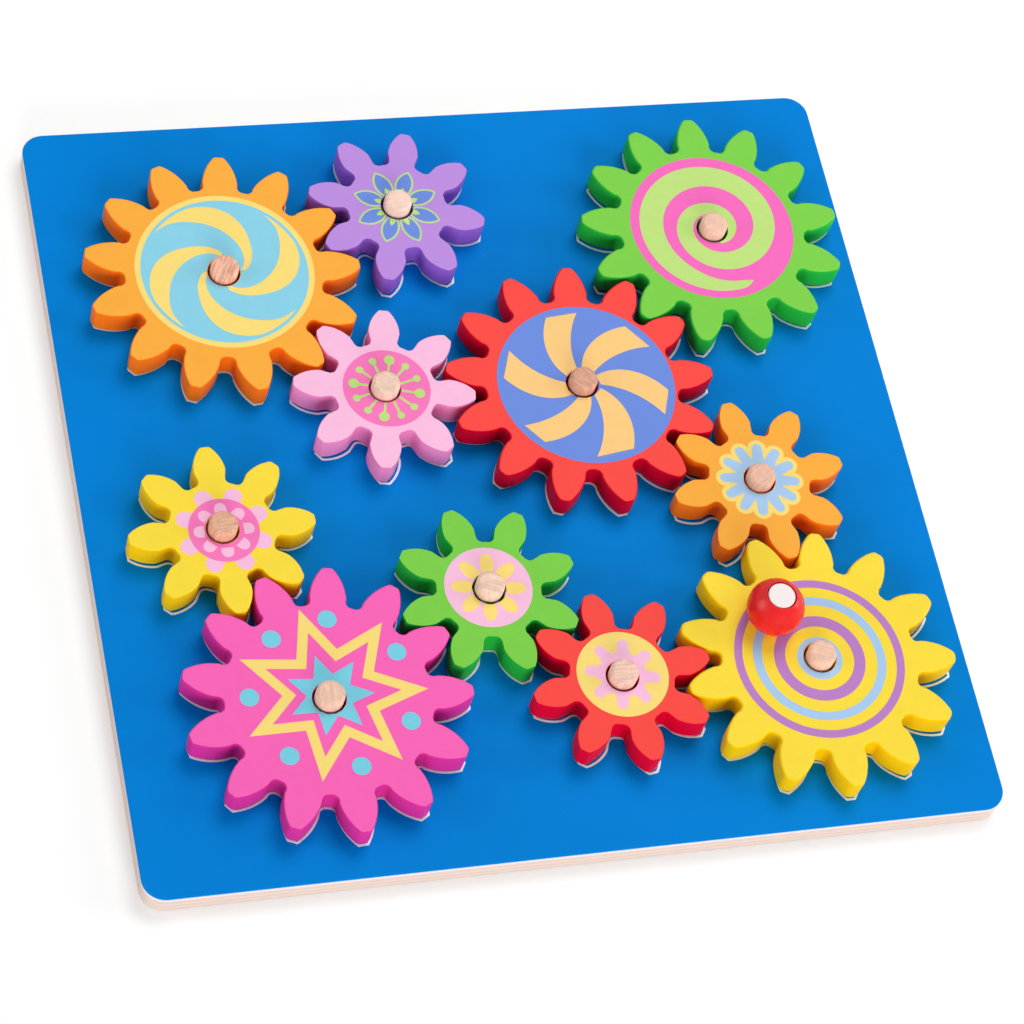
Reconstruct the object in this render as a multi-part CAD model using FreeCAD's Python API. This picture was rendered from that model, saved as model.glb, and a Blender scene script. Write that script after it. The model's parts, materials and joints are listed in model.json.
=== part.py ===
"""Wooden crank gear toy: a square plywood board with eleven dowel pegs, a train of loose
wooden gears on the pegs, and a ball knob on one gear to crank the whole train by hand.

Units are millimetres, +Z up. The origin is the centre of the board's underside.
"""
import FreeCAD, Part
import os
from math import acos, cos, hypot, pi, radians, sin, tan

# Board
BOARD_WIDTH = 300.0
BOARD_DEPTH = 300.0
BOARD_THICKNESS = 9.0
BOARD_CORNER_RADIUS = 8.0
BOARD_EDGE_BREAK = 0.4

# Gear teeth: all gears share one tooth, so every large and small gear meshes with every other
MODULE = 6.8
PRESSURE_ANGLE = 30.0
ADDENDUM = 5.2
DEDENDUM = 8.9
BACKLASH = 1.3
ROOT_FILLET = 2.2
LARGE_TEETH = 13
SMALL_TEETH = 8

# Gear blanks
GEAR_THICKNESS = 10.0
GEAR_RUNNING_GAP = 0.3

# Pegs, glued into blind holes in the board
PEG_DIAMETER = 10.0
PEG_SINK = 6.5
PEG_STAND_OUT = 4.3
PEG_END_CHAMFER = 0.9
PEG_CLEARANCE = 0.7

# Crank knob: a drilled ball glued on a short dowel that is glued into the crank gear
CRANK_RADIUS = 22.0
CRANK_ANGLE = 130.7
KNOB_DIAMETER = 20.0
KNOB_FOOT_DIAMETER = 11.6
KNOB_DOWEL_DIAMETER = 9.4
KNOB_DOWEL_SINK = 9.0
KNOB_DOWEL_EDGE_BREAK = 0.3
KNOB_MOUTH_RELIEF = 0.3

# The train. The crank gear's peg stands right of the board's centre and in front of it. The
# crank gear turns first, and each row adds the gear that one before it drives: name, teeth,
# driver, bearing of its peg from the driver's peg (degrees), and where its tooth rests in the
# driver's tooth gap, from -1 against one flank to 1 against the other
CRANK_GEAR = "crank_gear"
CRANK_PEG_RIGHT = 92.9
CRANK_PEG_FORWARD = 91.4
CRANK_GEAR_TURN = 22.45
TRAIN = (
    ("small_orange_gear", SMALL_TEETH, CRANK_GEAR, 93.8, 0.8),
    ("large_red_gear", LARGE_TEETH, "small_orange_gear", 141.6, -0.8),
    ("large_green_gear", LARGE_TEETH, "large_red_gear", 44.2, 0.8),
    ("small_pink_gear", SMALL_TEETH, "large_red_gear", 176.8, 0.7),
    ("large_orange_gear", LARGE_TEETH, "small_pink_gear", 133.1, 0.6),
    ("small_purple_gear", SMALL_TEETH, "large_orange_gear", 19.3, 0.5),
    ("small_red_gear", SMALL_TEETH, CRANK_GEAR, 180.0, 0.3),
    ("small_green_gear", SMALL_TEETH, "small_red_gear", 136.3, -0.7),
    ("large_magenta_gear", LARGE_TEETH, "small_green_gear", 209.6, 0.8),
    ("small_yellow_gear", SMALL_TEETH, "large_magenta_gear", 110.6, 0.2),
)

# Heights that follow from the sizes above
PEG_FOOT_Z = BOARD_THICKNESS - PEG_SINK
GEAR_BOTTOM_Z = BOARD_THICKNESS + GEAR_RUNNING_GAP
GEAR_TOP_Z = GEAR_BOTTOM_Z + GEAR_THICKNESS
PEG_TOP_Z = GEAR_TOP_Z + PEG_STAND_OUT

UP = FreeCAD.Vector(0, 0, 1)


def polar(radius, angle, z=0.0):
    """The point at a radius and an angle in radians round the Z axis."""
    return FreeCAD.Vector(radius * cos(angle), radius * sin(angle), z)


def pitch_radius(teeth):
    return teeth * MODULE / 2


def involute(angle):
    return tan(angle) - angle


# ---------------------------------------------------------------- layout of the train


def gear_places():
    """Each gear's teeth, peg position and rest angle in radians, walked out along the train."""
    crank_turn = radians(CRANK_GEAR_TURN)
    places = {CRANK_GEAR: (LARGE_TEETH, CRANK_PEG_RIGHT, -CRANK_PEG_FORWARD, crank_turn)}
    for name, teeth, driver, bearing_deg, lean in TRAIN:
        driver_teeth, x, y, driver_turn = places[driver]
        bearing = radians(bearing_deg)
        distance = pitch_radius(driver_teeth) + pitch_radius(teeth)
        # a tooth of one gear points into the middle of the other's gap, less its lean
        centred = (pi - driver_teeth * (driver_turn - bearing)) / teeth
        slack = lean * BACKLASH / 2 / pitch_radius(teeth)
        turn = bearing + pi + centred + slack
        places[name] = (teeth, x + distance * cos(bearing), y + distance * sin(bearing), turn)
    return places


# ---------------------------------------------------------------- gears


def half_tooth_angle(teeth, radius):
    """Half the angle that one tooth fills at a radius on its involute flank."""
    base_radius = pitch_radius(teeth) * cos(radians(PRESSURE_ANGLE))
    tooth_at_pitch = (pi * MODULE - BACKLASH) / 2
    half_at_pitch = tooth_at_pitch / 2 / pitch_radius(teeth)
    return half_at_pitch + involute(radians(PRESSURE_ANGLE)) - involute(acos(base_radius / radius))


def tooth_edges(teeth):
    """One tooth and the root beside it: both flanks, the flat tip and the root arc."""
    base_radius = pitch_radius(teeth) * cos(radians(PRESSURE_ANGLE))
    tip_radius = pitch_radius(teeth) + ADDENDUM
    root_radius = pitch_radius(teeth) - DEDENDUM
    flank = []
    for radius in (base_radius, (base_radius + tip_radius) / 2, tip_radius):
        flank.append((radius, half_tooth_angle(teeth, radius)))
    foot_angle = flank[0][1]
    tip_angle = flank[-1][1]
    next_foot = 2 * pi / teeth - foot_angle
    curves = [
        Part.LineSegment(polar(root_radius, -foot_angle), polar(base_radius, -foot_angle)),
        Part.Arc(*[polar(radius, -angle) for radius, angle in flank]),
        Part.LineSegment(polar(tip_radius, -tip_angle), polar(tip_radius, tip_angle)),
        Part.Arc(*[polar(radius, angle) for radius, angle in reversed(flank)]),
        Part.LineSegment(polar(base_radius, foot_angle), polar(root_radius, foot_angle)),
        Part.Arc(
            polar(root_radius, foot_angle),
            polar(root_radius, pi / teeth),
            polar(root_radius, next_foot),
        ),
    ]
    return [curve.toShape() for curve in curves]


def gear_blank(teeth):
    """The toothed disc about the Z axis from z = 0, with round roots and a bore."""
    outline = []
    for tooth in range(teeth):
        for edge in tooth_edges(teeth):
            edge.rotate(FreeCAD.Vector(), UP, tooth * 360 / teeth)
            outline.append(edge)
    disc = Part.Face(Part.Wire(outline)).extrude(UP * GEAR_THICKNESS)
    root_radius = pitch_radius(teeth) - DEDENDUM
    disc = disc.makeFillet(ROOT_FILLET, upright_edges(disc, root_radius))
    bore_radius = PEG_DIAMETER / 2 + PEG_CLEARANCE
    return disc.cut(Part.makeCylinder(bore_radius, GEAR_THICKNESS))


def upright_edges(shape, radius):
    """The straight edges along Z that stand at a radius from the Z axis."""
    found = []
    for edge in shape.Edges:
        start = edge.Vertexes[0].Point
        end = edge.Vertexes[-1].Point
        upright = abs(start.x - end.x) + abs(start.y - end.y) < 1e-6
        if upright and abs(hypot(start.x, start.y) - radius) < 1e-4:
            found.append(edge)
    return found


def level_edges(shape, heights):
    """The edges that lie flat at any of the given heights."""
    found = []
    for edge in shape.Edges:
        box = edge.BoundBox
        if any(abs(box.ZMin - z) < 1e-4 and abs(box.ZMax - z) < 1e-4 for z in heights):
            found.append(edge)
    return found


def placed_gear(blank, x, y, turn):
    gear = blank.copy()
    gear.rotate(FreeCAD.Vector(), UP, turn * 180 / pi)
    gear.translate(FreeCAD.Vector(x, y, GEAR_BOTTOM_Z))
    return gear


# ---------------------------------------------------------------- board and pegs


def base_board(peg_positions):
    """The square plywood board with rounded corners and one blind hole for each peg."""
    board = Part.makeBox(
        BOARD_WIDTH, BOARD_DEPTH, BOARD_THICKNESS, FreeCAD.Vector(-BOARD_WIDTH / 2, -BOARD_DEPTH / 2, 0)
    )
    corner_distance = hypot(BOARD_WIDTH, BOARD_DEPTH) / 2
    board = board.makeFillet(BOARD_CORNER_RADIUS, upright_edges(board, corner_distance))
    board = board.makeChamfer(BOARD_EDGE_BREAK, level_edges(board, (0, BOARD_THICKNESS)))
    for x, y in peg_positions:
        foot = FreeCAD.Vector(x, y, PEG_FOOT_Z)
        board = board.cut(Part.makeCylinder(PEG_DIAMETER / 2, PEG_SINK + BOARD_THICKNESS, foot))
    return board


def peg(x, y):
    """A dowel glued into the board, with an eased end that stands out of its gear."""
    length = PEG_TOP_Z - PEG_FOOT_Z
    dowel = Part.makeCylinder(PEG_DIAMETER / 2, length, FreeCAD.Vector(x, y, PEG_FOOT_Z))
    return dowel.makeChamfer(PEG_END_CHAMFER, level_edges(dowel, (PEG_TOP_Z,)))


# ---------------------------------------------------------------- crank knob


def knob_centre(crank_x, crank_y):
    """The ball's centre: its flat foot rests on top of the crank gear."""
    foot_drop = (KNOB_DIAMETER**2 / 4 - KNOB_FOOT_DIAMETER**2 / 4) ** 0.5
    return polar(CRANK_RADIUS, radians(CRANK_ANGLE), GEAR_TOP_Z + foot_drop) + FreeCAD.Vector(
        crank_x, crank_y, 0
    )


def dowel_bottom(centre):
    return FreeCAD.Vector(centre.x, centre.y, GEAR_TOP_Z - KNOB_DOWEL_SINK)


def dowel_top_z(centre):
    """Where the drilled hole breaks out of the ball: the dowel ends flush with its rim."""
    rim_radius = KNOB_DOWEL_DIAMETER / 2 + KNOB_MOUTH_RELIEF
    return centre.z + (KNOB_DIAMETER**2 / 4 - rim_radius**2) ** 0.5


def crank_dowel(centre):
    bottom = dowel_bottom(centre)
    top_z = dowel_top_z(centre)
    dowel = Part.makeCylinder(KNOB_DOWEL_DIAMETER / 2, top_z - bottom.z, bottom)
    return dowel.makeChamfer(KNOB_DOWEL_EDGE_BREAK, level_edges(dowel, (top_z,)))


def crank_knob(centre):
    """A ball with a flat foot, drilled right through, its mouth eased at the top."""
    ball = Part.makeSphere(KNOB_DIAMETER / 2, centre)
    foot = Part.makeBox(
        KNOB_DIAMETER,
        KNOB_DIAMETER,
        KNOB_DIAMETER,
        FreeCAD.Vector(centre.x - KNOB_DIAMETER / 2, centre.y - KNOB_DIAMETER / 2, GEAR_TOP_Z - KNOB_DIAMETER),
    )
    bore_foot = FreeCAD.Vector(centre.x, centre.y, GEAR_TOP_Z)
    bore = Part.makeCylinder(KNOB_DOWEL_DIAMETER / 2, KNOB_DIAMETER, bore_foot)
    ball = ball.cut(foot).cut(bore)
    mouth_z = dowel_top_z(centre)
    relief_foot = FreeCAD.Vector(centre.x, centre.y, mouth_z - KNOB_MOUTH_RELIEF)
    relief = Part.makeCone(
        KNOB_DOWEL_DIAMETER / 2,
        KNOB_DOWEL_DIAMETER / 2 + 2 * KNOB_MOUTH_RELIEF,
        2 * KNOB_MOUTH_RELIEF,
        relief_foot,
    )
    return ball.cut(relief)


# ---------------------------------------------------------------- assembly


def build():
    places = gear_places()
    blanks = {teeth: gear_blank(teeth) for teeth in (LARGE_TEETH, SMALL_TEETH)}
    parts = {"base_board": base_board([(x, y) for teeth, x, y, turn in places.values()])}
    for name, (teeth, x, y, turn) in places.items():
        parts[name] = placed_gear(blanks[teeth], x, y, turn)
        parts[name + "_peg"] = peg(x, y)
    teeth, x, y, turn = places[CRANK_GEAR]
    centre = knob_centre(x, y)
    parts["crank_dowel"] = crank_dowel(centre)
    parts["crank_knob"] = crank_knob(centre)
    socket = Part.makeCylinder(KNOB_DOWEL_DIAMETER / 2, KNOB_DIAMETER, dowel_bottom(centre))
    parts[CRANK_GEAR] = parts[CRANK_GEAR].cut(socket)
    return parts


os.makedirs("parts", exist_ok=True)
for node, shape in build().items():
    shape.exportStep(os.path.join("parts", node + ".step"))
    print(node, "solids", len(shape.Solids), "valid", shape.isValid(), "volume", round(shape.Volume, 1))
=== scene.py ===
import json
from cmath import phase, rect
from math import cos, degrees, hypot, pi, radians, sin, sqrt, tan

import bmesh
import bpy
from mathutils import Matrix, Vector

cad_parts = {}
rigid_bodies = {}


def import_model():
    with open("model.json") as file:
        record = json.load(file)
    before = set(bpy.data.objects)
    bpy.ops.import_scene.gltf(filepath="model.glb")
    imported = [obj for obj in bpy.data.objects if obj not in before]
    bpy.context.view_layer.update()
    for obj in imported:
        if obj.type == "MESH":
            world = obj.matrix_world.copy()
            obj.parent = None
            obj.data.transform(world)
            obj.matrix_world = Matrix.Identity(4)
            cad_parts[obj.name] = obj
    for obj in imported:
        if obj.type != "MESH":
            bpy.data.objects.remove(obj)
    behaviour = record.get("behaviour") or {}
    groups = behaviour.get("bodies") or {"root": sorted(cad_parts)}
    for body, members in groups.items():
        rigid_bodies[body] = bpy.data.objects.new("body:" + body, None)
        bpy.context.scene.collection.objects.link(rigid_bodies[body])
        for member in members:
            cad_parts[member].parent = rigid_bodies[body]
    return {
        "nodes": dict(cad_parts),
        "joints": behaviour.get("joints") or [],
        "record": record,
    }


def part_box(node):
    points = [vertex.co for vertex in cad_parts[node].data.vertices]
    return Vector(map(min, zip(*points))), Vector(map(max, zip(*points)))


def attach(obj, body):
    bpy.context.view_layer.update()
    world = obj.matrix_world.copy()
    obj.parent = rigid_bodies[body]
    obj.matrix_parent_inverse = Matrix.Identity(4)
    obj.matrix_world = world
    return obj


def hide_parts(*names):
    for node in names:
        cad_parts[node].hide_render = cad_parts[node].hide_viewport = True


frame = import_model()
for leftover in list(bpy.data.objects):
    if leftover.name in ("Cube", "Camera", "Light"):
        bpy.data.objects.remove(leftover)
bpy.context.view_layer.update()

# Wooden crank gear toy: paint, printed ornaments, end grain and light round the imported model.
# Lengths written here are millimetres in the model's own frame, and MM takes them to metres.
# A print is drawn flat about its gear's centre: a point is one complex number in millimetres,
# and an angle is in degrees, counted anticlockwise from the gear's marked tooth.

MM = 0.001
UP = Vector((0, 0, 1))

# Gears: teeth by size, the reach that only large gears pass, and where prints end round a bore
LARGE_TEETH = 13
SMALL_TEETH = 8
LARGE_GEAR_RADIUS = 40.0
BORE_EDGE = 6.0

# How far a corner may lie inside a gear's reach, and a face off its underside, and still count
TIP_TOLERANCE = 0.05
LEVEL_TOLERANCE = 0.01

# Rounding of the wood's edges, and how many faces each rounding has
TIP_ROUNDING = 1.3
LARGE_RIM_ROUNDING = 0.9
SMALL_RIM_ROUNDING = 0.5
FOOT_ROUNDING = 1.8
GEAR_ROUNDING_FACES = 4
PEG_ROUNDING = 0.6
PEG_ROUNDING_FACES = 3

# How edges are told apart: a sharp one bends by more degrees than this, an upright one on a gear
# rises more than this, and a gear's foot edge is lower over the board than this
SHARP_BEND = 28.0
UPRIGHT_RISE = 5.0
FOOT_HEIGHT = 5.0
ABOVE_ALL_RISES = 100.0

# Points that lie closer than this are one point, in a piece made here and in a packed gear
WELD_GAP = 0.002
PACKED_WELD_GAP = 0.001

# Print: each coat of ink stands this much above the one under it, its foot is in the wood, and
# the paint's own ink round the bore runs a little under it
INK_COAT = 0.03
INK_FOOT = 0.05
INK_OVERLAP = 0.1

# White line printed on the board round each gear
OUTLINE_WIDTH = 0.8
OUTLINE_COAT = 0.02
OUTLINE_FOOT = 0.02

# Board edge: the white border of the blue print turns over it, above the bare plies
EDGE_BLUE = 0.45
EDGE_WHITE = 1.9
PLY_PAIR = 2.6

# Knob: the drilled ball, and the dark gap that is left round the dowel's end in its mouth
KNOB_RADIUS = 10.0
KNOB_SEGMENTS = 96
KNOB_RINGS = 48
KNOB_BORE_RADIUS = 4.7
KNOB_FOOT_RADIUS = 5.8
KNOB_LIP_ROUNDING = 0.12
KNOB_LIP_RINGS = 4
KNOB_MOUTH_GAP = 0.5
KNOB_MOUTH_DEPTH = 3.0

# Camera: the place and the point that it looks at, both above the board's centre
CAMERA_PLACE = (-324.03, -575.54, 1034.73)
CAMERA_TARGET = (-0.55, -19.45, 0.0)
CAMERA_ROLL = 21.57
CAMERA_LENS = 122.775
CAMERA_SENSOR = 36.0

# Light: an even room, three soft round lamps and a low broad fill from the front; a strength is
# what falls on a surface that faces the lamp. Each soft lamp has a bearing, height, width and
# strength: the key behind the board, one at its left and one at its right.
ROOM_STRENGTH = 0.27
LAMP_DISTANCE = 1800.0
SOFT_LAMPS = {
    "key": (54.0, 59.0, 1150.0, 1.5),
    "side": (178.0, 22.0, 1100.0, 0.85),
    "right": (356.0, 24.0, 900.0, 0.9),
}
FILL_BEARING = 272.0
FILL_HEIGHT = 10.0
FILL_STRENGTH = 2.5
FILL_SPREAD = 40.0

# Floor: its size, how far it lies under the board, its tone, and its own glow where it is seen
FLOOR_SIZE = 8000.0
FLOOR_DROP = 0.05
FLOOR_TONE = (0.8, 0.8, 0.8, 1)
FLOOR_GLOW = (0.27, 0.27, 0.27, 1)

# The tooth that each gear's print is counted from: its bearing to the nearest few degrees
MARKED_TOOTH = {
    "crank_gear": 22,
    "small_orange_gear": 53,
    "large_red_gear": 168,
    "large_green_gear": 115,
    "small_pink_gear": 35,
    "large_orange_gear": 166,
    "small_purple_gear": -16,
    "small_red_gear": -81,
    "small_green_gear": 195,
    "large_magenta_gear": -85,
    "small_yellow_gear": 182,
}

# The white line round each gear: how far it reaches past the gear's foot, how far and at which
# bearing it lies off it, and how many degrees it is turned, as the loose gears rest off it
OUTLINE = {
    "crank_gear": (-0.4, 1.1, 312, -0.68),
    "small_orange_gear": (-0.5, 1.4, 294, 1.6),
    "large_red_gear": (-0.25, 0.4, 340, -1.0),
    "large_green_gear": (-0.5, 1.0, 258, 0.5),
    "small_pink_gear": (0.4, 0.6, 330, 1.2),
    "large_orange_gear": (-0.3, 0.5, 285, -0.6),
    "small_purple_gear": (0.0, 0.7, 290, 0.95),
    "small_red_gear": (-0.05, 1.1, 324, 0.67),
    "small_green_gear": (0.2, 0.5, 300, 0.3),
    "large_magenta_gear": (0.0, 0.6, 315, 0.0),
    "small_yellow_gear": (0.0, 0.75, 290, 0.72),
}

# Paint by material slot: the colour of a gear's printed face, and a deeper, more saturated colour on
# its sides, which is painted shade
PAINT = {
    "yellow_paint": ((255, 222, 62), (255, 203, 0)),
    "orange_paint": ((255, 174, 62), (255, 120, 17)),
    "red_paint": ((254, 75, 68), (228, 0, 46)),
    "green_paint": ((124, 207, 72), (37, 179, 58)),
    "pink_paint": ((255, 191, 225), (246, 144, 197)),
    "purple_paint": ((188, 141, 223), (146, 96, 198)),
    "magenta_paint": ((255, 101, 186), (220, 52, 152)),
}
# The large red gear's sides are painted darker still than the red paint's sides: more painted shade
DEEPER_SHADE_SIDES = {"large_red_gear": (198, 0, 38)}

# Bare beech of each peg's end: its colour, how strong its grain is, and the grain's bearing
PEG_WOOD = {
    "crank_gear": ((240, 199, 176), 0.5, -28),
    "small_orange_gear": ((236, 187, 164), 0.5, 38),
    "large_red_gear": ((216, 160, 136), 0.8, -50),
    "large_green_gear": ((238, 194, 172), 0.4, 20),
    "small_pink_gear": ((241, 206, 186), 0.6, -45),
    "large_orange_gear": ((236, 178, 152), 1.3, 62),
    "small_purple_gear": ((247, 211, 194), 0.3, 10),
    "small_red_gear": ((240, 200, 182), 0.8, 0),
    "small_green_gear": ((241, 206, 184), 0.8, -24),
    "large_magenta_gear": ((240, 198, 174), 0.6, 88),
    "small_yellow_gear": ((226, 172, 144), 0.9, 5),
}

# Printed inks
INK = {
    "yellow": (252, 222, 122),
    "cyan": (138, 209, 231),
    "aqua": (121, 208, 229),
    "blue": (168, 204, 240),
    "purple": (187, 128, 199),
    "periwinkle": (109, 141, 223),
    "lime": (190, 225, 126),
    "pink": (249, 122, 190),
    "rose": (246, 107, 190),
    "pale_pink": (250, 192, 224),
    "pale_orange": (254, 205, 130),
}
OUTLINE_WHITE = (243, 249, 255)

# Board, dowel and knob
BOARD_BLUE = (0, 130, 217)
BOARD_SPECK = (90, 170, 235)
BORDER_WHITE = (229, 225, 236)
LONG_PLY = (231, 212, 201)
CROSS_PLY = (223, 200, 189)
GLUE_LINE = (170, 128, 104)
BACK_VENEER = (236, 208, 178)
PALE_DOWEL = (244, 234, 232)
KNOB_RED = (230, 26, 28)

# The middle span of a noise's values, as it drives a colour or a roughness, the roughness of
# the noise itself, and how much paint and ink shine
COLOUR_SPAN = (0.25, 0.75)
ROUGHNESS_SPAN = (0.3, 0.7)
NOISE_ROUGHNESS = 0.55
PRINT_SPECULAR = 0.06


# ---------------------------------------------------------------- colour and node helpers


def linear(colour):
    """An 8-bit sRGB colour as the linear RGBA that shaders take."""
    channels = []
    for value in colour:
        level = value / 255
        if level <= 0.04045:
            level = level / 12.92
        else:
            level = ((level + 0.055) / 1.055) ** 2.4
        channels.append(min(level, 0.97))
    return (*channels, 1.0)


def feed(tree, socket, value):
    """Joins another socket to a socket, or sets its value."""
    if isinstance(value, bpy.types.NodeSocket):
        tree.links.new(value, socket)
    else:
        socket.default_value = value


def add_node(tree, kind, inputs=None, **settings):
    """A node with its settings; each input is a socket to join or a value to set."""
    node = tree.nodes.new(kind)
    for key, value in settings.items():
        setattr(node, key, value)
    for key, value in (inputs or {}).items():
        feed(tree, node.inputs[key], value)
    return node


class Recipe:
    """One material's node tree, with short ways to add and join its nodes."""

    def __init__(self, name):
        self.material = bpy.data.materials.new(name)
        self.material.use_nodes = True
        self.tree = self.material.node_tree
        self.shader = self.tree.nodes["Principled BSDF"]
        self.place = self.add("ShaderNodeTexCoord").outputs["Object"]
        self.normal_z = self.height(self.add("ShaderNodeNewGeometry").outputs["Normal"])

    def add(self, kind, inputs=None, **settings):
        return add_node(self.tree, kind, inputs, **settings)

    def height(self, vector):
        """The upright part of a vector."""
        return self.add("ShaderNodeSeparateXYZ", {0: vector}).outputs["Z"]

    def math(self, operation, first, second=0.0):
        return self.add("ShaderNodeMath", {0: first, 1: second}, operation=operation).outputs[0]

    def ramp(self, value, low, high, start=0.0, end=1.0):
        """A smooth step: start below low, end above high."""
        inputs = {"Value": value, "From Min": low, "From Max": high, "To Min": start, "To Max": end}
        return self.add("ShaderNodeMapRange", inputs, interpolation_type="SMOOTHSTEP").outputs["Result"]

    def below(self, value, low, high):
        """1 below low, falling smoothly to 0 above high."""
        return self.ramp(value, low, high, 1.0, 0.0)

    def patchy(self, noise, low, high):
        """A roughness that goes from low to high as a noise passes its middle."""
        return self.ramp(noise, *ROUGHNESS_SPAN, low, high)

    def mix(self, share, first, second, blend="MIX"):
        inputs = {"Factor": share, 6: first, 7: second}
        return self.add("ShaderNodeMix", inputs, data_type="RGBA", blend_type=blend).outputs[2]

    def noise(self, size, detail=3.0, stretch=(1, 1, 1), turn=0.0):
        """Noise whose features are about size millimetres, drawn out by stretch along turned axes."""
        turned = self.add(
            "ShaderNodeMapping",
            {"Vector": self.place, "Rotation": (0, 0, turn), "Scale": stretch},
            vector_type="TEXTURE",
        )
        inputs = {
            "Vector": turned.outputs[0],
            "Scale": 1 / (size * MM),
            "Detail": detail,
            "Roughness": NOISE_ROUGHNESS,
        }
        return self.add("ShaderNodeTexNoise", inputs).outputs[0]

    def spots(self, spacing, radius):
        """1 inside round specks of about a radius that lie about a spacing apart, 0 between."""
        cells = self.add("ShaderNodeTexVoronoi", {"Vector": self.place, "Scale": 1 / (spacing * MM)})
        edge = radius / spacing
        return self.below(cells.outputs["Distance"], edge * 0.5, edge)

    def distance(self, centre):
        """How far a point lies from the upright line through centre, in metres."""
        place = (centre.x, centre.y, centre.z)
        away = self.add("ShaderNodeVectorMath", {0: self.place, 1: place}, operation="SUBTRACT")
        level = {0: away.outputs[0], 1: (1, 1, 0)}
        flat = self.add("ShaderNodeVectorMath", level, operation="MULTIPLY")
        length = self.add("ShaderNodeVectorMath", {0: flat.outputs[0]}, operation="LENGTH")
        return length.outputs["Value"]

    def shade(self, colour, noise, depth):
        """The colour made up to depth darker or lighter as a noise leaves its middle."""
        gain = self.ramp(noise, *COLOUR_SPAN, 1 - depth, 1 + depth)
        grey = self.add("ShaderNodeCombineXYZ", {0: gain, 1: gain, 2: gain}).outputs[0]
        return self.mix(1.0, colour, grey, "MULTIPLY")

    def bump(self, height, depth):
        """A bump whose full height is depth millimetres."""
        inputs = {"Height": height, "Distance": depth * MM, "Strength": 1.0}
        return self.add("ShaderNodeBump", inputs).outputs["Normal"]

    def finish(self, colour, roughness, normal=None, specular=0.3):
        feed(self.tree, self.shader.inputs["Base Color"], colour)
        feed(self.tree, self.shader.inputs["Roughness"], roughness)
        self.shader.inputs["Specular IOR Level"].default_value = specular
        if normal:
            feed(self.tree, self.shader.inputs["Normal"], normal)
        return self.material


# ---------------------------------------------------------------- materials


def gear_paint(gear, top, side, hub, centre):
    """Paint on one gear: a flat printed face, sides in a deeper colour that is painted shade, and ink
    up to the bore.
    """
    recipe = Recipe(gear + "_paint")
    mottle = recipe.noise(7.0)
    grain = recipe.noise(0.5, 2.0)
    fibre = recipe.noise(1.2, 3.0, (1, 1, 5))
    face = recipe.shade(linear(top), mottle, 0.02)
    inked = recipe.math("LESS_THAN", recipe.distance(centre), (BORE_EDGE + INK_OVERLAP) * MM)
    face = recipe.mix(inked, face, linear(hub))
    # the sides' deeper, more saturated colour is painted shade; faces that look up keep the face colour
    sides = recipe.shade(linear(side), fibre, 0.015)
    facing_up = recipe.ramp(recipe.normal_z, 0.7, 0.95)
    colour = recipe.mix(facing_up, sides, face)
    colour = recipe.shade(colour, grain, 0.012)
    roughness = recipe.patchy(mottle, 0.38, 0.46)
    return recipe.finish(colour, roughness, recipe.bump(mottle, 0.02), PRINT_SPECULAR)


def ink(name):
    """One printed ink: a thin flat coat with a little unevenness."""
    recipe = Recipe("ink_" + name)
    mottle = recipe.noise(5.0)
    grain = recipe.noise(0.4, 2.0)
    colour = recipe.shade(linear(INK[name]), mottle, 0.015)
    colour = recipe.shade(colour, grain, 0.012)
    roughness = recipe.patchy(mottle, 0.4, 0.48)
    return recipe.finish(colour, roughness, recipe.bump(mottle, 0.012), PRINT_SPECULAR)


def outline_ink():
    """The white ink of the lines on the board."""
    recipe = Recipe("outline_ink")
    colour = recipe.shade(linear(OUTLINE_WHITE), recipe.noise(0.8), 0.04)
    return recipe.finish(colour, 0.45, recipe.bump(recipe.noise(0.4), 0.01), 0.2)


def board_wood(thickness):
    """Plywood with a blue printed face, a white border that turns over the edge, and bare plies."""
    recipe = Recipe("board_wood")
    depth = recipe.math("SUBTRACT", thickness * MM, recipe.height(recipe.place))
    depth = recipe.math("DIVIDE", depth, MM)

    cloud = recipe.noise(60.0, 2.0)
    grain = recipe.noise(0.45, 2.0)
    long_grain = recipe.noise(2.0, 4.0, (14, 1, 1))
    blue = recipe.shade(linear(BOARD_BLUE), cloud, 0.03)
    blue = recipe.shade(blue, grain, 0.02)
    blue = recipe.mix(recipe.spots(14.0, 0.2), blue, linear(BOARD_SPECK))

    edge = bare_plies(recipe, depth)
    edge = recipe.mix(recipe.below(depth, EDGE_WHITE - 0.2, EDGE_WHITE), edge, linear(BORDER_WHITE))
    edge = recipe.mix(recipe.below(depth, EDGE_BLUE - 0.1, EDGE_BLUE + 0.1), edge, blue)

    back = recipe.shade(linear(BACK_VENEER), long_grain, 0.1)
    colour = recipe.mix(recipe.ramp(recipe.normal_z, 0.8, 0.95), edge, blue)
    colour = recipe.mix(recipe.below(recipe.normal_z, -0.95, -0.8), colour, back)
    roughness = recipe.patchy(grain, 0.42, 0.5)
    long_texture = recipe.math("MULTIPLY", long_grain, 0.4)
    fine_texture = recipe.math("MULTIPLY", grain, 0.6)
    texture = recipe.math("ADD", long_texture, fine_texture)
    return recipe.finish(colour, roughness, recipe.bump(texture, 0.012), 0.02)


def bare_plies(recipe, depth):
    """Seven plies, light and darker in turn, with glue lines; depth is under the face, in mm."""
    fibre = recipe.noise(0.5, 4.0, (10, 10, 1))
    long_ply = recipe.shade(linear(LONG_PLY), fibre, 0.03)
    cross_ply = recipe.shade(linear(CROSS_PLY), fibre, 0.06)
    wave = recipe.math("SINE", recipe.math("MULTIPLY", depth, 2 * pi / PLY_PAIR))
    plies = recipe.mix(recipe.ramp(wave, -0.2, 0.7), long_ply, cross_ply)
    glue = recipe.ramp(recipe.math("ABSOLUTE", wave), 0.0, 0.14, 0.25, 0.0)
    return recipe.mix(glue, plies, linear(GLUE_LINE))


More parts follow.
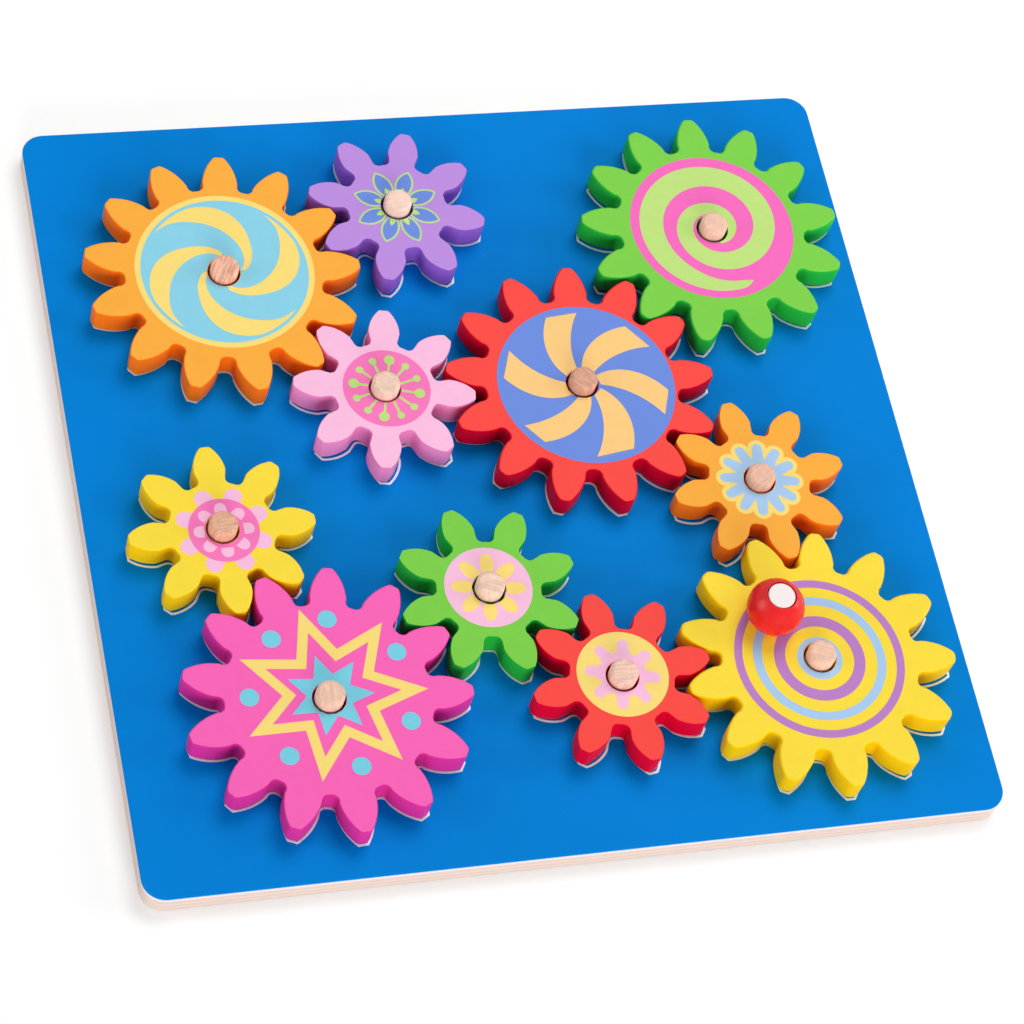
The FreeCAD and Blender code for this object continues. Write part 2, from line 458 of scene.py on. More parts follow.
def beech(name, tone, strength, bearing):
    """Bare beech: growth rings along a bearing, fine rays across them and a few dark pores."""
    recipe = Recipe(name)
    turn = radians(bearing)
    rings = recipe.noise(0.75, 2.0, (9, 1, 9), turn)
    rays = recipe.noise(0.35, 3.0, (1, 7, 7), turn)
    pores = recipe.noise(0.3, 2.0, (3, 1, 3), turn)
    cloud = recipe.noise(4.0, 2.0)
    colour = recipe.shade(linear(tone), rings, 0.2 * strength)
    colour = recipe.shade(colour, rays, 0.09 * strength)
    colour = recipe.shade(colour, cloud, 0.05)
    dark = linear([0.78 * channel for channel in tone])
    colour = recipe.mix(recipe.ramp(pores, 0.62, 0.74, 0.0, 0.6), colour, dark)
    return recipe.finish(colour, 0.55, recipe.bump(rings, 0.03), 0.12)


def pale_dowel():
    """The pale bare end of the crank dowel."""
    recipe = Recipe("pale_dowel_wood")
    fibre = recipe.noise(0.3, 3.0, (3, 1, 3))
    colour = recipe.shade(linear(PALE_DOWEL), fibre, 0.03)
    return recipe.finish(colour, 0.5, recipe.bump(fibre, 0.015), 0.25)


def knob_gloss():
    """Semi-gloss red lacquer with a faint ripple."""
    recipe = Recipe("knob_gloss")
    ripple = recipe.noise(4.0, 2.0)
    colour = recipe.shade(linear(KNOB_RED), ripple, 0.03)
    roughness = recipe.patchy(ripple, 0.22, 0.3)
    return recipe.finish(colour, roughness, recipe.bump(ripple, 0.01))


# ---------------------------------------------------------------- flat shapes for the prints
#
# A curve is a function from an angle to a point, a width is a function from a distance to half a
# width, and a shape is a list of rows of points with whether the last row meets the first.


def polar(radius, centre, start=0.0):
    """The curve about centre whose radius is a function of the angle past start."""

    def point(angle):
        return centre + rect(radius(angle - start), radians(angle))

    return point


def circle(radius, centre=0):
    """The curve that is a circle about centre."""

    def point(angle):
        return centre + rect(radius, radians(angle))

    return point


def star(tip, valley, first_tip, points, centre):
    """The curve that is a star's outline, true at its tips and its valleys."""
    half = 180.0 / points

    def point(angle):
        turns = round((angle - first_tip) / half)
        radius = tip if turns % 2 == 0 else valley
        return centre + rect(radius, radians(angle))

    return point


def smooth(*stations):
    """A smooth function through (angle, radius) stations."""

    def tangent(index):
        before = stations[max(index - 1, 0)]
        after = stations[min(index + 1, len(stations) - 1)]
        return (after[1] - before[1]) / (after[0] - before[0])

    def radius(angle):
        index = 0
        while index < len(stations) - 2 and angle > stations[index + 1][0]:
            index += 1
        (start, first), (end, last) = stations[index], stations[index + 1]
        span = end - start
        share = min(max((angle - start) / span, 0), 1)
        rise = last - first
        lead = tangent(index) * span
        tail = tangent(index + 1) * span
        return first + share * lead + share**2 * (3 * rise - 2 * lead - tail) + share**3 * (
            lead + tail - 2 * rise
        )

    return radius


def outside_bore(point):
    """The point, moved straight out to the bore's edge where it would lie over the bore."""
    if abs(point) < BORE_EDGE:
        return rect(BORE_EDGE, phase(point))
    return point


def band(inner, outer, start=0.0, end=360.0, steps=96):
    """The shape between two curves."""
    closed = end - start == 360.0
    rows = []
    for step in range(steps if closed else steps + 1):
        angle = start + (end - start) * step / steps
        rows.append((outside_bore(inner(angle)), outside_bore(outer(angle))))
    return rows, closed


def ring(inner, outer, centre):
    """A round ring between two radii."""
    return band(circle(inner, centre), circle(outer, centre))


def disc(radius, centre=0):
    """A round disc with the bore left out."""
    return band(circle(BORE_EDGE), circle(radius, centre))


def strip(width, start, end, bearing, centre=0, steps=28):
    """The shape that runs out along a bearing from start to end, with a width."""
    way = rect(1, radians(bearing))
    rows = []
    for step in range(steps + 1):
        along = (start + end) / 2 - (end - start) / 2 * cos(pi * step / steps)
        half = width(along)
        left = centre + way * complex(along, half)
        right = centre + way * complex(along, -half)
        rows.append((outside_bore(right), outside_bore(left)))
    return rows, False


def with_middle(shape):
    """The shape with points along its middle, so that a foot on the bore follows its curve."""
    rows, closed = shape
    return [(right, outside_bore((right + left) / 2), left) for right, left in rows], closed


def even(size):
    """The same width all along."""

    def half_width(along):
        return size

    return half_width


def disc_width(radius, middle):
    """The width of a disc about middle."""

    def half_width(along):
        return sqrt(max(radius**2 - (along - middle) ** 2, 0))

    return half_width


def dome(radius, middle, below):
    """The width of a shape that ends in a half circle about middle, with its own width below."""
    end = disc_width(radius, middle)

    def half_width(along):
        return below(along) if along < middle else end(along)

    return half_width


def lens(start, end, widest):
    """The width of a pointed leaf between two arcs."""
    half_length = (end - start) / 2
    arc_radius = (half_length**2 + widest**2) / (2 * widest)
    middle = (start + end) / 2

    def half_width(along):
        return sqrt(arc_radius**2 - (along - middle) ** 2) - (arc_radius - widest)

    return half_width


def within_sector(width, half_angle):
    """The width, held inside a sector so that neighbours meet but don't cross."""
    slope = tan(radians(half_angle))

    def half_width(along):
        return min(width(along), max(along, 0) * slope)

    return half_width


def spread(count, first):
    """The bearings of equal parts round a circle."""
    return [first + 360.0 * part / count for part in range(count)]


# ---------------------------------------------------------------- the prints
#
# Each gives (ink, coat, shapes) for its pieces. The numbers are sizes read off the photograph.


def crank_print():
    """Two purple rings and a blue one round a blue disc."""
    centre = -0.33 - 0.25j
    purples = [ring(12.3, 16.3, centre), ring(27.5, 30.4, centre)]
    blues = [disc(8.1, centre), ring(20.6, 23.75, centre)]
    return [("purple", 1, purples), ("blue", 1, blues)]


def swirl_print():
    """A cyan disc in a yellow rim, with four curved yellow blades."""
    centre = -0.34 - 0.56j
    rim_inner, rim_outer = 29.9, 31.95
    foot, tip = -75, 66.7
    outer = smooth(
        (foot, 7.6), (-32, 14.9), (0, 23.7), (15, 26.7), (32, 28.5), (48, 28.6), (tip, 28.7),
    )
    inner = smooth((foot, 5.6), (-32, 10.3), (0, 15.0), (34, 22.2), (52, 26.6), (tip, 28.7))
    blades = []
    for bearing in spread(4, -1.05):
        sides = (polar(inner, centre, bearing), polar(outer, centre, bearing))
        blades.append(band(*sides, bearing + foot, bearing + tip, 48))
    return [
        ("cyan", 1, [disc(rim_inner, centre)]),
        ("yellow", 1, [ring(rim_inner, rim_outer, centre)]),
        ("yellow", 2, blades),
    ]


def spiral_print():
    """A pink disc with one lime spiral that widens as it winds out from the bore."""
    centre = 0.6 - 0.4j
    start, end = 168.0, 898.0
    outer = smooth(
        (start, 7.4), (270, 10.0), (360, 11.3), (450, 14.8), (540, 19.9), (630, 25.8), (700, 27.0),
        (800, 27.5), (885, 27.8), (892, 27.5), (end, 26.2),
    )
    inner = smooth(
        (start, 5.4), (360, 6.0), (450, 8.1), (540, 12.1), (620, 16.9), (670, 18.2), (740, 18.2),
        (830, 19.8), (885, 24.2), (892, 24.8), (end, 26.1),
    )
    spiral = band(polar(inner, centre), polar(outer, centre), start, end, 190)
    return [("rose", 1, [disc(30.9, centre)]), ("lime", 2, [spiral])]


def pinwheel_print():
    """A periwinkle disc with six swept blades of uneven width, each with a hairline at the rim."""
    centre = -1.6 - 0.06j
    rim, hub, twist, hub_width, hairline = 29.9, 5.3, 35.0, 44.0, 0.02
    steps = 24
    blades = []
    for bearing, width in (
        (111.3, 27.4), (51.4, 18.0), (-8.5, 22.9), (-71.4, 22.8), (-129.3, 22.5), (172.8, 20.1),
    ):
        rows = []
        for step in range(steps + 1):
            radius = hub + (rim - hub) * step / steps
            inward = (rim - radius) / (rim - hub)
            middle = bearing + twist * inward
            half = (width + (hub_width - width) * inward) / 2
            right = centre + rect(radius, radians(middle - half))
            left = centre + rect(radius, radians(middle + half))
            rows.append((outside_bore(left), outside_bore(right)))
        arcs = (circle(rim - hairline, centre), circle(rim, centre))
        cap = band(*arcs, bearing - width / 2, bearing + width / 2, 10)
        blades += [with_middle((rows, False)), cap]
    return [("periwinkle", 1, [disc(32.4, centre)]), ("pale_orange", 2, blades)]


def star_print():
    """A yellow seven-point zigzag round a cyan star, with a cyan dot in each gap."""
    first_tip, points = -20.1, 7
    once_round = (first_tip, first_tip + 360, 2 * points)
    zigzag_centre, star_centre = -1.53 + 1.36j, -1.1 + 0.6j
    zigzag = band(
        star(23.6, 12.1, first_tip, points, zigzag_centre),
        star(32.7, 16.75, first_tip, points, zigzag_centre),
        *once_round,
    )
    middle = band(circle(BORE_EDGE), star(15.1, 7.9, first_tip, points, star_centre), *once_round)
    dot_radius, dot_reach = 3.25, 27.8
    dot = disc_width(dot_radius, dot_reach)
    dots = []
    for bearing in (6, 58, 113.5, 169, 213, 262.7, 315):
        dots.append(strip(dot, dot_reach - dot_radius, dot_reach + dot_radius, bearing, zigzag_centre))
    return [("yellow", 1, [zigzag]), ("aqua", 1, [middle] + dots)]


def leaf_print():
    """Eight lime leaves, each with a periwinkle heart and a lime drop at its foot."""
    centre = 0.1 - 0.37j
    leaf = within_sector(lens(3.7, 16.3, 3.3), 22.5)
    heart = within_sector(lens(4.57, 15.43, 2.6), 20.0)
    drop = lens(3.9, 8.7, 1.05)
    leaves, hearts, drops = [], [], []
    for bearing in spread(8, -8.9):
        leaves.append(strip(leaf, 3.7, 16.3, bearing, centre))
        hearts.append(strip(heart, 4.57, 15.43, bearing, centre))
        drops.append(strip(drop, 3.9, 8.7, bearing, centre))
    return [("lime", 1, leaves), ("periwinkle", 2, hearts), ("lime", 3, drops)]


def pin_print():
    """A pink disc with twelve lime pins, every third one with a larger head."""
    centre = 0.47 - 0.47j
    head, stem = 11.75, 0.45
    large_head, small_head = 1.9, 1.35
    pins = []
    for index, bearing in enumerate(spread(12, 9.9)):
        size = large_head if index % 3 == 1 else small_head
        pins.append(strip(pin_width(size, head, stem), 4.5, head + size, bearing, centre, 40))
    return [("pink", 1, [disc(15.6, centre)]), ("lime", 2, pins)]


def pin_width(size, head, stem):
    """The width of a pin with a round head of a size about head."""
    round_head = disc_width(size, head)

    def below(along):
        return max(stem, round_head(along))

    return dome(size, head, below)


def daisy_print():
    """Twelve round yellow petals under twelve narrow blue ones."""
    centre = 0.1 - 0.1j
    blue_half, blue_end, blue_flare = 1.75, 12.75, 0.08

    def blue_width(along):
        return blue_half + (blue_end - along) * blue_flare

    yellow_petal = within_sector(dome(3.5, 12.5, even(3.5)), 15.0)
    blue_petal = within_sector(dome(blue_half, blue_end, blue_width), 15.0)
    yellows, blues = [], []
    for bearing in spread(12, -1.9):
        yellows.append(strip(yellow_petal, 4.5, 16.0, bearing, centre))
        blues.append(strip(blue_petal, 7.2, 14.5, bearing, centre))
    return [("yellow", 1, yellows), ("blue", 2, blues), ("blue", 3, [disc(7.8, centre)])]


def lobe_print():
    """Eight pale lobes behind a pink disc that carries eight pale domes."""
    centre = -0.4 + 0.6j
    lobe = dome(3.05, 13.75, even(3.05))
    small_dome = dome(2.1, 8.4, even(2.15))
    lobes = [strip(lobe, 11.5, 16.8, bearing, centre) for bearing in spread(8, 20.5)]
    domes = [strip(small_dome, 6.8, 10.5, bearing, centre) for bearing in spread(8, -2.1)]
    return [("pale_pink", 1, lobes), ("pink", 2, [disc(12.2, centre)]), ("pale_pink", 3, domes)]


def petal_print():
    """A pale disc with eight yellow oval petals."""
    centre = -0.06 - 0.6j
    middle, half_length, widest = 8.7, 4.3, 2.4

    def oval(along):
        return widest * sqrt(max(1 - ((along - middle) / half_length) ** 2, 0))

    petal = within_sector(oval, 22.5)
    petals = []
    for bearing in spread(8, 22.7):
        petals.append(strip(petal, middle - half_length, middle + half_length, bearing, centre))
    return [("pale_pink", 1, [disc(15.35, centre)]), ("yellow", 2, petals)]


def blossom_print():
    """A pale yellow disc with eight pink petals that spread at their feet into a pink disc."""
    centre = -0.72 + 0.4j
    half, end = 2.0, 11.1
    flare, flare_start, flare_length = 1.1, 10, 2.5

    def foot_width(along):
        return half + flare * (max(flare_start - along, 0) / flare_length) ** 2

    petal = within_sector(dome(half, end, foot_width), 22.5)
    petals = [strip(petal, 7.0, end + half, bearing, centre) for bearing in spread(8, 23.8)]
    hub = disc(7.6, centre)
    return [("yellow", 1, [disc(16.05, centre)]), ("pale_pink", 2, petals), ("pale_pink", 3, [hub])]


# Each gear's print and the ink that runs to its bore
PRINTS = {
    "crank_gear": (crank_print, "blue"),
    "small_orange_gear": (daisy_print, "blue"),
    "large_red_gear": (pinwheel_print, "pale_orange"),
    "large_green_gear": (spiral_print, "lime"),
    "small_pink_gear": (pin_print, "pink"),
    "large_orange_gear": (swirl_print, "yellow"),
    "small_purple_gear": (leaf_print, "periwinkle"),
    "small_red_gear": (blossom_print, "pale_pink"),
    "small_green_gear": (petal_print, "pale_pink"),
    "large_magenta_gear": (star_print, "aqua"),
    "small_yellow_gear": (lobe_print, "pink"),
}


# ---------------------------------------------------------------- meshes


def add_piece(name, vertices, faces, material):
    """A new mesh object with one material."""
    mesh = bpy.data.meshes.new(name)
    mesh.from_pydata(vertices, [], faces)
    mesh.materials.append(material)
    mesh.validate()
    piece = bpy.data.objects.new(name, mesh)
    bpy.context.scene.collection.objects.link(piece)
    return piece


def weld(mesh, starts=(0,)):
    """Merges the points that meet in each shape, drops faces of no area and turns all outward."""
    work = bmesh.new()
    work.from_mesh(mesh)
    points = list(work.verts)
    for start, end in zip(starts, [*starts[1:], len(points)]):
        bmesh.ops.remove_doubles(work, verts=points[start:end], dist=WELD_GAP * MM)
    bmesh.ops.dissolve_degenerate(work, edges=work.edges, dist=WELD_GAP * MM)
    bmesh.ops.recalc_face_normals(work, faces=work.faces)
    work.to_mesh(mesh)
    work.free()


def thin_solid(name, shapes, bottom, top, place, material):
    """One thin mesh of several closed flat shapes; place takes a flat point to its (x, y)."""
    vertices, faces, starts = [], [], []
    for rows, closed in shapes:
        starts.append(len(vertices))
        faces += shape_faces(len(vertices), len(rows), len(rows[0]), closed)
        for point in [place(point) for row in rows for point in row]:
            vertices.append((point.real * MM, point.imag * MM, bottom * MM))
            vertices.append((point.real * MM, point.imag * MM, top * MM))
    piece = add_piece(name, vertices, faces, material)
    weld(piece.data, starts)
    return piece


def shape_faces(first, rows, width, closed):
    """The faces of one flat shape from vertex first on, each point a lower and an upper vertex."""
    stride = 2 * width
    spans = [(stride * row, stride * (row + 1)) for row in range(rows - 1)]
    if closed:
        spans.append((stride * (rows - 1), 0))
    faces = []
    for rail in range(first, first + stride - 2, 2):
        for here, there in spans:
            a = rail + here
            b = rail + there
            faces.append((a + 1, a + 3, b + 3, b + 1))
            faces.append((a, b, b + 2, a + 2))
        if not closed:
            last = rail + stride * (rows - 1)
            faces.append((rail, rail + 2, rail + 3, rail + 1))
            faces.append((last, last + 1, last + 3, last + 2))
    for here, there in spans:
        a = first + here
        b = first + there
        faces.append((a, a + 1, b + 1, b))
        a += stride - 2
        b += stride - 2
        faces.append((a, b, b + 1, a + 1))
    return faces


def lathe(name, profile, centre, material):
    """A solid turned about the vertical line through centre from (radius, height) points."""
    vertices, faces = [], []
    for radius, height in profile:
        for segment in range(KNOB_SEGMENTS):
            angle = 2 * pi * segment / KNOB_SEGMENTS
            x = centre.x + radius * MM * cos(angle)
            y = centre.y + radius * MM * sin(angle)
            vertices.append((x, y, height * MM))
    rows = len(profile)
    for row in range(rows):
        here = row * KNOB_SEGMENTS
        there = (row + 1) % rows * KNOB_SEGMENTS
        for segment in range(KNOB_SEGMENTS):
            after = (segment + 1) % KNOB_SEGMENTS
            faces.append((here + segment, here + after, there + after, there + segment))
    piece = add_piece(name, vertices, faces, material)
    weld(piece.data)
    for face in piece.data.polygons:
        face.use_smooth = True
    return piece


# ---------------------------------------------------------------- the gears


def gear_centre(gear):
    """The place of the gear's hinge."""
    joint = next(joint for joint in frame["joints"] if joint["child"] == gear)
    return Vector(joint["pos_m"])


def tip_corners(gear):
    """The gear's outermost corners about its centre as complex millimetres, and their reach."""
    centre = gear_centre(gear)
    points = []
    for vertex in frame["nodes"][gear].data.vertices:
        points.append(complex(vertex.co.x - centre.x, vertex.co.y - centre.y) / MM)
    reach = max(abs(point) for point in points)
    return [point for point in points if abs(point) > reach - TIP_TOLERANCE], reach


def is_large(gear):
    """Whether the gear is one of the five large ones."""
    return tip_corners(gear)[1] > LARGE_GEAR_RADIUS


def marked_tooth(gear):
    """The exact bearing in degrees of the tooth that the gear's print is counted from."""
    teeth = LARGE_TEETH if is_large(gear) else SMALL_TEETH
    corners = tip_corners(gear)[0]
    phases = sum(rect(1, teeth * phase(corner)) for corner in corners)
    pitch = 360 / teeth
    offset = degrees(phase(phases)) / teeth
    return offset + pitch * round((MARKED_TOOTH[gear] - offset) / pitch)


def print_on(gear, top):
    """The gear's printed ornament: one thin piece for each ink and coat."""
    draw = PRINTS[gear][0]
    centre = gear_centre(gear)
    origin = complex(centre.x, centre.y) / MM
    turn = rect(1, radians(marked_tooth(gear)))

    def on_gear(point):
        return origin + point * turn

    for colour, coat, shapes in draw():
        name = f"{gear}_print_{colour}_{coat}"
        coat_top = top + INK_COAT * coat
        piece = thin_solid(name, shapes, top - INK_FOOT, coat_top, on_gear, inks[colour])
        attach(piece, gear)


def rounded_place(point):
    """A point's place in millimetres, rounded so that points that meet are equal."""
    return round(point.x / MM, 4), round(point.y / MM, 4)


def bottom_outline(gear):
    """The outer edge of a gear's underside, in order, as complex millimetres."""
    mesh = frame["nodes"][gear].data
    bottom = min(vertex.co.z for vertex in mesh.vertices)
    edges = {}
    for face in mesh.polygons:
        if face.normal.z > -0.99 or abs(face.center.z - bottom) > LEVEL_TOLERANCE * MM:
            continue
        corners = [rounded_place(mesh.vertices[index].co) for index in face.vertices]
        edges.update(dict.fromkeys(zip(corners, corners[1:] + corners[:1])))
    border = {start: end for start, end in edges if (end, start) not in edges}
    centre = rounded_place(gear_centre(gear))
    first = max(border, key=lambda point: hypot(point[0] - centre[0], point[1] - centre[1]))
    loop = [first]
    while border[loop[-1]] != first:
        loop.append(border[loop[-1]])
    return [complex(x, y) for x, y in loop]


def offset_loop(loop, distance):
    """The loop moved outward by a distance, with sharp corners. The loop runs clockwise."""
    moved = []
    count = len(loop)
    for index in range(count):
        before = loop[index] - loop[index - 1]
        after = loop[(index + 1) % count] - loop[index]
        before = before / abs(before) * 1j
        after = after / abs(after) * 1j
        middle = before + after
        scale = 2 / abs(middle) ** 2
        moved.append(loop[index] + middle * scale * distance)
    return moved


def outline_on_board(gear, order, board_top):
    """The white line printed on the board along the foot of a gear, as loose gears rest off it."""
    reach, shift, bearing, turn = OUTLINE[gear]
    centre = complex(*rounded_place(gear_centre(gear)))
    swing = rect(1, radians(turn))
    offset = rect(shift, radians(bearing))

    def on_board(point):
        return centre + (point - centre) * swing + offset

    loop = bottom_outline(gear)
    rows = list(zip(offset_loop(loop, reach - OUTLINE_WIDTH), offset_loop(loop, reach)))
    # every second line is half a coat higher, so that lines that cross don't share a plane
    top = board_top + OUTLINE_COAT * (1 + 0.5 * (order % 2))
    bottom = board_top - OUTLINE_FOOT
    piece = thin_solid(gear + "_outline", [(rows, True)], bottom, top, on_board, outline_material)
    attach(piece, "board")


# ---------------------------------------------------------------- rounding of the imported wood


def gear_rounding(name, rim_rounding, middle):
    """The rounding of a gear's edges, as shares of the largest, which is at its foot."""
    shares = (TIP_ROUNDING / FOOT_ROUNDING, rim_rounding / FOOT_ROUNDING, 1.0)
    return rounding_nodes(name, *shares, middle, UPRIGHT_RISE)


def rounding_nodes(name, upright_share, rim_share, foot_share, foot_height, upright_rise):
    """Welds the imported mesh, smooths it and weighs each sharp edge for the bevel after it.

    Sharp edges that rise more than upright_rise get upright_share of the bevel, level ones below
    foot_height get foot_share and the other level ones rim_share.
    """
    group = bpy.data.node_groups.new(name, "GeometryNodeTree")
    group.interface.new_socket("Geometry", in_out="INPUT", socket_type="NodeSocketGeometry")
    group.interface.new_socket("Geometry", in_out="OUTPUT", socket_type="NodeSocketGeometry")

    def add(kind, inputs=None, **settings):
        return add_node(group, kind, inputs, **settings)

    def math(operation, *values):
        return add("ShaderNodeMath", dict(enumerate(values)), operation=operation).outputs[0]

    def height(vector):
        return add("ShaderNodeSeparateXYZ", {0: vector}).outputs["Z"]

    mesh = add("NodeGroupInput").outputs[0]
    mesh = add("GeometryNodeRemoveAttribute", {"Geometry": mesh, "Name": "custom_normal"}).outputs[0]
    weld_inputs = {"Geometry": mesh, "Distance": PACKED_WELD_GAP * MM}
    mesh = add("GeometryNodeMergeByDistance", weld_inputs).outputs[0]
    mesh = add("GeometryNodeSetShadeSmooth", {"Geometry": mesh}, domain="FACE").outputs[0]

    ends = add("GeometryNodeInputMeshEdgeVertices").outputs
    span = add("ShaderNodeVectorMath", {0: ends[2], 1: ends[3]}, operation="SUBTRACT").outputs[0]
    upright = math("GREATER_THAN", math("ABSOLUTE", height(span)), upright_rise * MM)
    place = add("GeometryNodeInputPosition").outputs[0]
    low = math("LESS_THAN", height(place), foot_height * MM)
    level_share = math("MULTIPLY_ADD", low, foot_share - rim_share, rim_share)
    beyond_level = math("SUBTRACT", upright_share, level_share)
    share = math("MULTIPLY_ADD", upright, beyond_level, level_share)
    bend = add("GeometryNodeInputMeshEdgeAngle").outputs["Unsigned Angle"]
    sharp = math("GREATER_THAN", bend, radians(SHARP_BEND))

    weight_inputs = {
        "Geometry": mesh,
        "Name": "bevel_weight_edge",
        "Value": math("MULTIPLY", share, sharp),
    }
    store = "GeometryNodeStoreNamedAttribute"
    weighed = add(store, weight_inputs, data_type="FLOAT", domain="EDGE").outputs[0]
    add("NodeGroupOutput", {0: weighed})
    return group


def round_edges(node, group, width, segments):
    """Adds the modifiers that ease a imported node's edges; its mesh stays as it is."""
    planar = node.modifiers.new("planar", "DECIMATE")
    planar.decimate_type = "DISSOLVE"
    planar.angle_limit = radians(0.5)
    weigh = node.modifiers.new("weigh", "NODES")
    weigh.node_group = group
    bevel = node.modifiers.new("bevel", "BEVEL")
    bevel.limit_method = "WEIGHT"
    bevel.width = width * MM
    bevel.segments = segments
    bevel.use_clamp_overlap = True
    shading = node.modifiers.new("shading", "WEIGHTED_NORMAL")
    shading.weight = 100


def paint_node(name, material):
    """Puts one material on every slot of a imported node."""
    node = frame["nodes"][name]
    for slot in node.material_slots:
        slot.material = material
    return node


# ---------------------------------------------------------------- knob


def turned_ball(centre, foot):
    """The drilled ball's profile, closed: foot, outside, eased mouth, gap and bore."""
    gap_radius = KNOB_BORE_RADIUS + KNOB_MOUTH_GAP
    mouth_radius = gap_radius + KNOB_LIP_ROUNDING
    start = -sqrt(KNOB_RADIUS**2 - KNOB_FOOT_RADIUS**2)
    end = sqrt(KNOB_RADIUS**2 - mouth_radius**2)
    first = degrees(phase(complex(KNOB_FOOT_RADIUS, start)))
    last = degrees(phase(complex(mouth_radius, end)))
    profile = []
    for step in range(KNOB_RINGS + 1):
        point = rect(KNOB_RADIUS, radians(first + (last - first) * step / KNOB_RINGS))
        profile.append((point.real, centre + point.imag))
    for step in range(1, KNOB_LIP_RINGS + 1):
        bend = step / KNOB_LIP_RINGS * pi / 2
        radius = mouth_radius - KNOB_LIP_ROUNDING * sin(bend)
        profile.append((radius, centre + end - KNOB_LIP_ROUNDING * (1 - cos(bend))))
    profile.append((gap_radius, centre + end - KNOB_MOUTH_DEPTH))
    profile.append((KNOB_BORE_RADIUS, centre + end - KNOB_MOUTH_DEPTH))
    profile.append((KNOB_BORE_RADIUS, foot))
    return profile


def knob_ball():
    """The red ball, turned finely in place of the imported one."""
    low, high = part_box("crank_knob")
    middle = Vector(((low.x + high.x) / 2, (low.y + high.y) / 2, 0))
    foot = low.z / MM
    centre = foot + sqrt(KNOB_RADIUS**2 - KNOB_FOOT_RADIUS**2)
    ball = lathe("knob_ball", turned_ball(centre, foot), middle, knob_gloss())
    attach(ball, "crank_gear")
    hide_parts("crank_knob")


# ---------------------------------------------------------------- stage, camera and light


def place_in_scene(name, data):
    """A new object in the scene for a camera's or a lamp's data."""
    thing = bpy.data.objects.new(name, data)
    bpy.context.scene.collection.objects.link(thing)
    return thing


def aim(thing, place, target, roll=0.0):
    """Puts a camera or lamp at a place, looking at a target, turned about its line of sight."""
    back = (place - target).normalized()
    level = UP.cross(back).normalized()
    steep = back.cross(level)
    right = level * cos(radians(roll)) + steep * sin(radians(roll))
    above = back.cross(right)
    turn = Matrix((right, above, back)).transposed()
    thing.matrix_world = Matrix.Translation(place) @ turn.to_4x4()


def direction(bearing, height):
    """The unit vector towards a bearing and a height above the horizon, in degrees."""
    flat = cos(radians(height))
    return Vector((flat * cos(radians(bearing)), flat * sin(radians(bearing)), sin(radians(height))))


def make_camera(board_top):
    """The camera that took the photograph, as solved from the board's edges."""
    data = bpy.data.cameras.new("camera")
    data.lens = CAMERA_LENS
    data.sensor_width = CAMERA_SENSOR
    data.clip_end = 100
    camera = place_in_scene("camera", data)
    lift = Vector((0, 0, board_top * MM))
    aim(camera, Vector(CAMERA_PLACE) * MM + lift, Vector(CAMERA_TARGET) * MM + lift, CAMERA_ROLL)
    bpy.context.scene.camera = camera


def soft_lamp(name, bearing, height, width, strength):
    """A round soft lamp that looks at the middle of the board."""
    distance = LAMP_DISTANCE * MM
    data = bpy.data.lights.new(name, "AREA")
    data.shape = "DISK"
    data.size = width * MM
    data.energy = strength * pi * distance**2
    aim(place_in_scene(name, data), direction(bearing, height) * distance, Vector())


def make_fill():
    """A low broad fill from the front, which lights the gears' near sides and gives no gloss."""
    data = bpy.data.lights.new("fill", "SUN")
    data.energy = FILL_STRENGTH
    data.angle = radians(FILL_SPREAD)
    lamp = place_in_scene("fill", data)
    aim(lamp, direction(FILL_BEARING, FILL_HEIGHT), Vector())
    lamp.visible_glossy = False


def seen_share(tree):
    """1 for rays from the camera, a gloss or a glass, and 0 for the light that falls on things."""
    path = add_node(tree, "ShaderNodeLightPath")
    total = path.outputs["Is Camera Ray"]
    for name in ("Is Glossy Ray", "Is Transmission Ray"):
        inputs = {0: total, 1: path.outputs[name]}
        total = add_node(tree, "ShaderNodeMath", inputs, operation="ADD", use_clamp=True).outputs[0]
    return total


def make_room():
    """An even white room: plain light on things, and pure white where it is seen."""
    world = bpy.data.worlds.new("room")
    world.use_nodes = True
    bpy.context.scene.world = world
    tree = world.node_tree
    inputs = {"Value": seen_share(tree), "To Min": ROOM_STRENGTH, "To Max": 1.0}
    level = add_node(tree, "ShaderNodeMapRange", inputs).outputs["Result"]
    background = tree.nodes["Background"]
    feed(tree, background.inputs["Color"], (1, 1, 1, 1))
    feed(tree, background.inputs["Strength"], level)


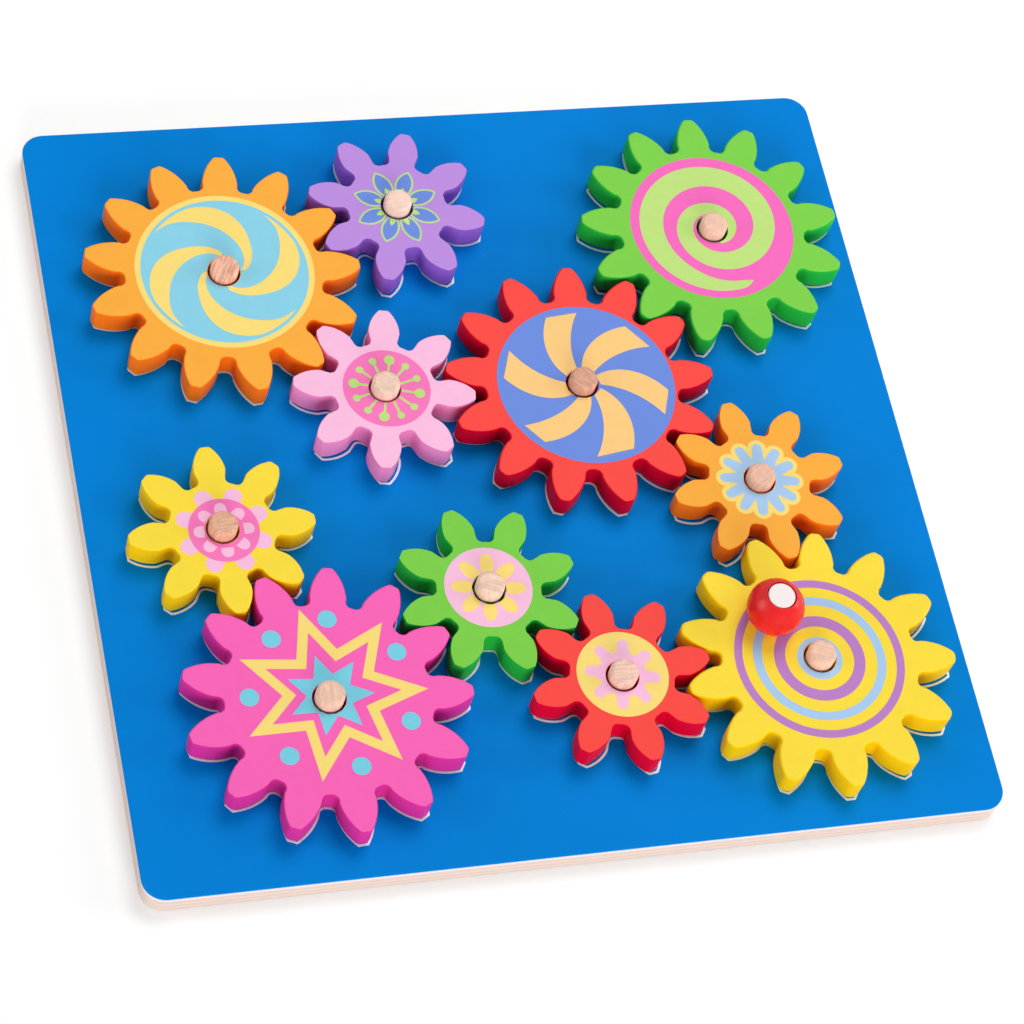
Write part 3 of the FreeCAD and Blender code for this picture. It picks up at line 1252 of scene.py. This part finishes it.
def make_floor():
    """A white floor that keeps the object's shadow and reads as pure white away from it."""
    recipe = Recipe("floor_white")
    paper = recipe.shade(FLOOR_TONE, recipe.noise(40.0), 0.004)
    recipe.finish(paper, 0.9, specular=0.0)
    glow = recipe.mix(seen_share(recipe.tree), (0, 0, 0, 1), FLOOR_GLOW)
    feed(recipe.tree, recipe.shader.inputs["Emission Color"], glow)
    recipe.shader.inputs["Emission Strength"].default_value = 1.0
    half = FLOOR_SIZE / 2 * MM
    corners = [(-half, -half, 0), (half, -half, 0), (half, half, 0), (-half, half, 0)]
    floor = add_piece("floor", corners, [(0, 1, 2, 3)], recipe.material)
    floor.location.z = -FLOOR_DROP * MM


# ---------------------------------------------------------------- assembly


def dress_gear(gear, order):
    """Paint, print, white outline and eased edges for one gear and its peg."""
    slot = slots[gear]
    gear_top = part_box(gear)[1].z / MM
    # the side colour is painted shade: a deeper copy of the gear's paint for its walls
    top_colour, shaded_side_colour = PAINT[slot]
    # some gears' sides are painted darker still, as more painted shade
    shaded_side_colour = DEEPER_SHADE_SIDES.get(gear, shaded_side_colour)
    hub_ink = INK[PRINTS[gear][1]]
    node = paint_node(gear, gear_paint(gear, top_colour, shaded_side_colour, hub_ink, gear_centre(gear)))
    rounding = large_rounding if is_large(gear) else small_rounding
    round_edges(node, rounding, FOOT_ROUNDING, GEAR_ROUNDING_FACES)
    print_on(gear, gear_top)
    outline_on_board(gear, order, board_top)
    peg = paint_node(gear + "_peg", beech(gear + "_peg_wood", *PEG_WOOD[gear]))
    round_edges(peg, peg_rounding, PEG_ROUNDING, PEG_ROUNDING_FACES)


board_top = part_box("base_board")[1].z / MM
bpy.context.scene.view_settings.view_transform = "Standard"
make_camera(board_top)
make_room()
for lamp_name, lamp in SOFT_LAMPS.items():
    soft_lamp(lamp_name, *lamp)
make_fill()
make_floor()

slots = {part["node"]: part["material_slot"] for part in frame["record"]["subparts"]}
inks = {name: ink(name) for name in INK}
outline_material = outline_ink()
gear_middle = board_top + FOOT_HEIGHT
large_rounding = gear_rounding("large_rounding", LARGE_RIM_ROUNDING, gear_middle)
small_rounding = gear_rounding("small_rounding", SMALL_RIM_ROUNDING, gear_middle)
peg_rounding = rounding_nodes("peg_rounding", 1.0, 1.0, 0.0, board_top, ABOVE_ALL_RISES)

paint_node("base_board", board_wood(board_top))
for order, gear in enumerate(PRINTS):
    dress_gear(gear, order)
paint_node("crank_dowel", pale_dowel())
knob_ball()

bpy.context.view_layer.update()
